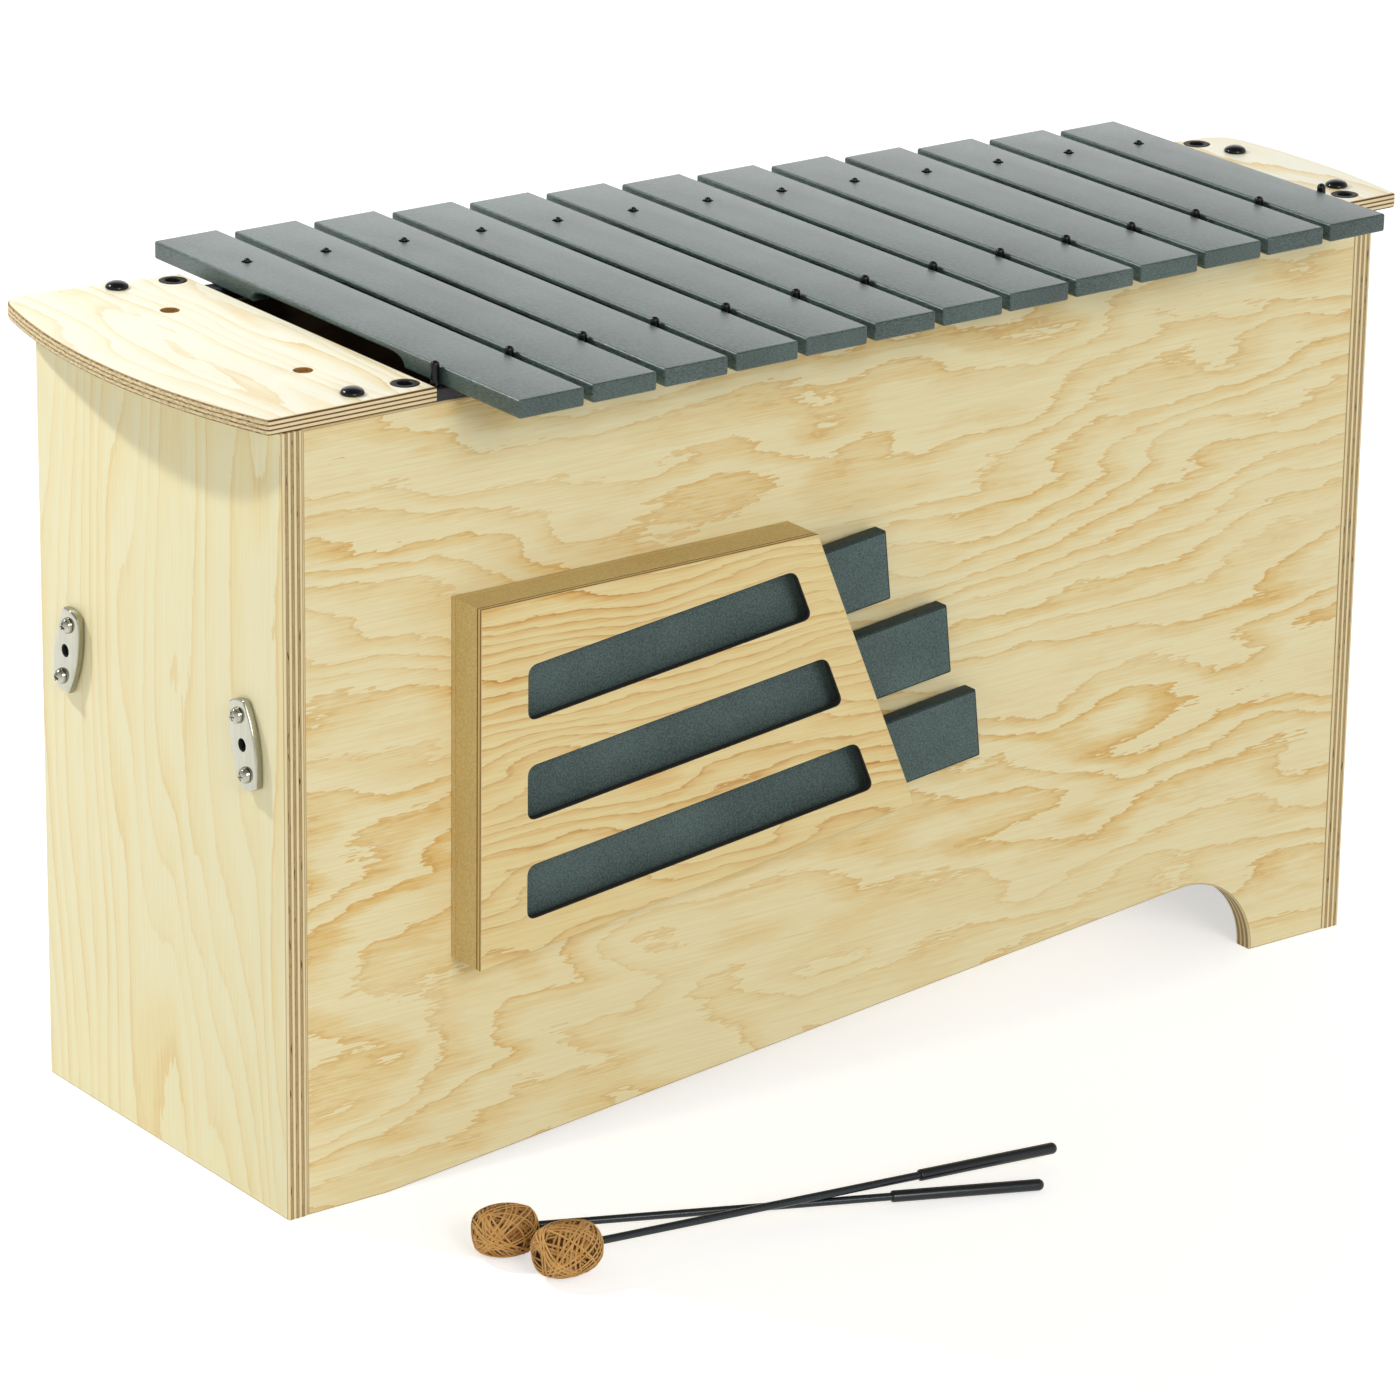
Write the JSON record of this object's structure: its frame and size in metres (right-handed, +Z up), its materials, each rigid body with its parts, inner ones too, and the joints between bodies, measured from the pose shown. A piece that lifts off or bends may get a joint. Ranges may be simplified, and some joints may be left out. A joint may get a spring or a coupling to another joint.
{
  "type": "bass metallophone",
  "caption": "Floor-standing bass metallophone: plywood resonator box with lift-off tuned bars on peg rails, spare bars in a front holder and yarn mallets.",
  "frame": {"origin": "middle of the bottom of the whole set, on the floor", "axes": "+X along the box towards the high notes, +Y from the player's side to the back, +Z up"},
  "size_m": [1.1658, 0.712, 0.676],
  "materials": {
    "pine_plywood": "clear-lacquered pine plywood with an orange-tan grain",
    "fibreboard": "plain brown fibreboard, sealed",
    "coated_bar": "grey speckled powder coat on aluminium",
    "black_rubber": "matt black rubber",
    "nickel_plate": "nickel-plated sheet steel",
    "steel_screw": "nickel-plated screw",
    "black_bolt": "black-lacquered dome",
    "black_socket": "black plastic bush",
    "mallet_core": "plain core under the yarn",
    "tan_yarn": "tan cotton yarn",
    "mallet_stick": "dark glass-fibre rod",
    "mallet_grip": "dark rubber sleeve"
  },
  "bodies": {
    "box": {"front_panel": "pine_plywood", "back_panel": "pine_plywood", "left_end_panel": "pine_plywood", "right_end_panel": "pine_plywood", "floor_board": "pine_plywood", "left_top_board": "pine_plywood", "right_top_board": "pine_plywood", "holder_face": "pine_plywood", "holder_back": "fibreboard", "holder_frame": "fibreboard", "front_peg_rail": "black_rubber", "back_pin_rail": "black_rubber", "left_front_plate": "nickel_plate", "left_rear_plate": "nickel_plate", "right_front_plate": "nickel_plate", "right_rear_plate": "nickel_plate", "left_front_plate_upper_screw": "steel_screw", "left_front_plate_lower_screw": "steel_screw", "left_rear_plate_upper_screw": "steel_screw", "left_rear_plate_lower_screw": "steel_screw", "right_front_plate_upper_screw": "steel_screw", "right_front_plate_lower_screw": "steel_screw", "right_rear_plate_upper_screw": "steel_screw", "right_rear_plate_lower_screw": "steel_screw", "left_front_bolt": "black_bolt", "left_rear_bolt": "black_bolt", "right_front_bolt": "black_bolt", "right_rear_bolt": "black_bolt", "left_front_socket": "black_socket", "left_rear_socket": "black_socket", "right_front_socket": "black_socket", "right_rear_socket": "black_socket"},
    "bar_01": {"bar_01": "coated_bar"},
    "bar_02": {"bar_02": "coated_bar"},
    "bar_03": {"bar_03": "coated_bar"},
    "bar_04": {"bar_04": "coated_bar"},
    "bar_05": {"bar_05": "coated_bar"},
    "bar_06": {"bar_06": "coated_bar"},
    "bar_07": {"bar_07": "coated_bar"},
    "bar_08": {"bar_08": "coated_bar"},
    "bar_09": {"bar_09": "coated_bar"},
    "bar_10": {"bar_10": "coated_bar"},
    "bar_11": {"bar_11": "coated_bar"},
    "bar_12": {"bar_12": "coated_bar"},
    "bar_13": {"bar_13": "coated_bar"},
    "spare_bar_1": {"spare_bar_1": "coated_bar"},
    "spare_bar_2": {"spare_bar_2": "coated_bar"},
    "spare_bar_3": {"spare_bar_3": "coated_bar"},
    "lower_mallet": {"lower_mallet_core": "mallet_core", "lower_mallet_yarn": "tan_yarn", "lower_mallet_stick": "mallet_stick", "lower_mallet_grip": "mallet_grip"},
    "upper_mallet": {"upper_mallet_core": "mallet_core", "upper_mallet_yarn": "tan_yarn", "upper_mallet_stick": "mallet_stick", "upper_mallet_grip": "mallet_grip"}
  },
  "joints": [
    {"name": "bar_01_lift", "type": "slide", "parent": "box", "child": "bar_01", "axis": [0, 0, 1], "range_m": [0, 0.12]},
    {"name": "bar_02_lift", "type": "slide", "parent": "box", "child": "bar_02", "axis": [0, 0, 1], "range_m": [0, 0.12]},
    {"name": "bar_03_lift", "type": "slide", "parent": "box", "child": "bar_03", "axis": [0, 0, 1], "range_m": [0, 0.12]},
    {"name": "bar_04_lift", "type": "slide", "parent": "box", "child": "bar_04", "axis": [0, 0, 1], "range_m": [0, 0.12]},
    {"name": "bar_05_lift", "type": "slide", "parent": "box", "child": "bar_05", "axis": [0, 0, 1], "range_m": [0, 0.12]},
    {"name": "bar_06_lift", "type": "slide", "parent": "box", "child": "bar_06", "axis": [0, 0, 1], "range_m": [0, 0.12]},
    {"name": "bar_07_lift", "type": "slide", "parent": "box", "child": "bar_07", "axis": [0, 0, 1], "range_m": [0, 0.12]},
    {"name": "bar_08_lift", "type": "slide", "parent": "box", "child": "bar_08", "axis": [0, 0, 1], "range_m": [0, 0.12]},
    {"name": "bar_09_lift", "type": "slide", "parent": "box", "child": "bar_09", "axis": [0, 0, 1], "range_m": [0, 0.12]},
    {"name": "bar_10_lift", "type": "slide", "parent": "box", "child": "bar_10", "axis": [0, 0, 1], "range_m": [0, 0.12]},
    {"name": "bar_11_lift", "type": "slide", "parent": "box", "child": "bar_11", "axis": [0, 0, 1], "range_m": [0, 0.12]},
    {"name": "bar_12_lift", "type": "slide", "parent": "box", "child": "bar_12", "axis": [0, 0, 1], "range_m": [0, 0.12]},
    {"name": "bar_13_lift", "type": "slide", "parent": "box", "child": "bar_13", "axis": [0, 0, 1], "range_m": [0, 0.12]},
    {"name": "spare_bar_1_slide", "type": "slide", "parent": "box", "child": "spare_bar_1", "axis": [0.9939, 0, 0.1103], "range_m": [0, 0.405]},
    {"name": "spare_bar_2_slide", "type": "slide", "parent": "box", "child": "spare_bar_2", "axis": [0.9939, 0, 0.1103], "range_m": [0, 0.37]},
    {"name": "spare_bar_3_slide", "type": "slide", "parent": "box", "child": "spare_bar_3", "axis": [0.9939, 0, 0.1103], "range_m": [0, 0.34]},
    {"name": "lower_mallet_lift", "type": "slide", "parent": "box", "child": "lower_mallet", "axis": [0, 0, 1], "range_m": [0, 0.15]},
    {"name": "upper_mallet_lift", "type": "slide", "parent": "lower_mallet", "child": "upper_mallet", "axis": [0, 0, 1], "range_m": [0, 0.15]}
  ]
}
